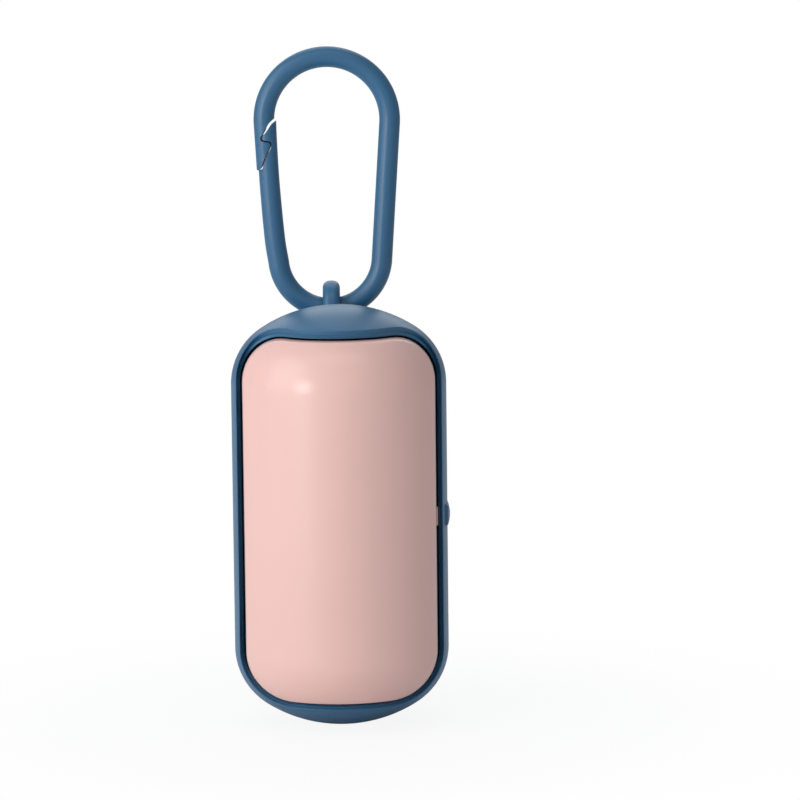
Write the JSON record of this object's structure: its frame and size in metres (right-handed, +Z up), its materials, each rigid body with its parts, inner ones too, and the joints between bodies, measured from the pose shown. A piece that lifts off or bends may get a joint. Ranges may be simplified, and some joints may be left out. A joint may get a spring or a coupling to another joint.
{
  "type": "dog waste bag dispenser",
  "caption": "Capsule-shaped pocket dispenser for rolls of bags, with a hinged front cover, a side latch button and a one-piece plastic carabiner in an eye on top.",
  "frame": {"origin": "centre of the flat foot at the bottom of the lower dome", "axes": "+Z up along the body's axis, the cover faces -Y, +X towards the latch button"},
  "size_m": [0.0435, 0.0433, 0.1346],
  "materials": {
    "blue_plastic": "soft matte, slate blue",
    "pink_plastic": "soft matte, dusty pink",
    "button_plastic": "soft matte, slate blue",
    "steel": "drawn wire",
    "soft_lip": "soft matte, dark blue",
    "white_plastic": "satin, off-white",
    "card": "raw brown card",
    "film": "thin wound film, pale"
  },
  "bodies": {
    "shell": {"rear_shell": "blue_plastic", "hinge_pin_lower": "steel", "hinge_pin_upper": "steel", "latch_spring": "steel", "outlet_lip": "soft_lip"},
    "cover": {"front_cover": "pink_plastic"},
    "button": {"latch_button": "button_plastic"},
    "roll": {"spindle": "white_plastic", "spindle_cap": "white_plastic", "roll_core": "card", "bag_roll": "film"},
    "carabiner": {"carabiner_hook": "blue_plastic"},
    "gate": {"carabiner_gate": "blue_plastic"}
  },
  "joints": [
    {"name": "cover_hinge", "type": "hinge", "parent": "shell", "child": "cover", "pos_m": [-0.0176, -0.00792, 0.0428], "axis": [0, 0, -1], "range_deg": [0, 85]},
    {"name": "latch_press", "type": "slide", "parent": "shell", "child": "button", "axis": [-1, 0, 0], "range_m": [0, 0.0008], "stiffness_N_per_m": 400, "springref_m": -0.0005, "deforming": ["latch_spring"]},
    {"name": "roll_spin", "type": "hinge", "parent": "shell", "child": "roll", "pos_m": [0, 0, 0.0424], "axis": [0, 0, 1], "continuous": true},
    {"name": "carabiner_swing", "type": "hinge", "parent": "shell", "child": "carabiner", "pos_m": [-0.00125, 0.0166, 0.0815], "axis": [1, 0, 0], "range_deg": [-145, 75]},
    {"name": "gate_flex", "type": "hinge", "parent": "carabiner", "child": "gate", "pos_m": [-0.01183, 0.0166, 0.09104], "axis": [0, 1, 0], "range_deg": [0, 12], "stiffness_Nm_per_rad": 0.1, "springref_deg": -1.15}
  ]
}
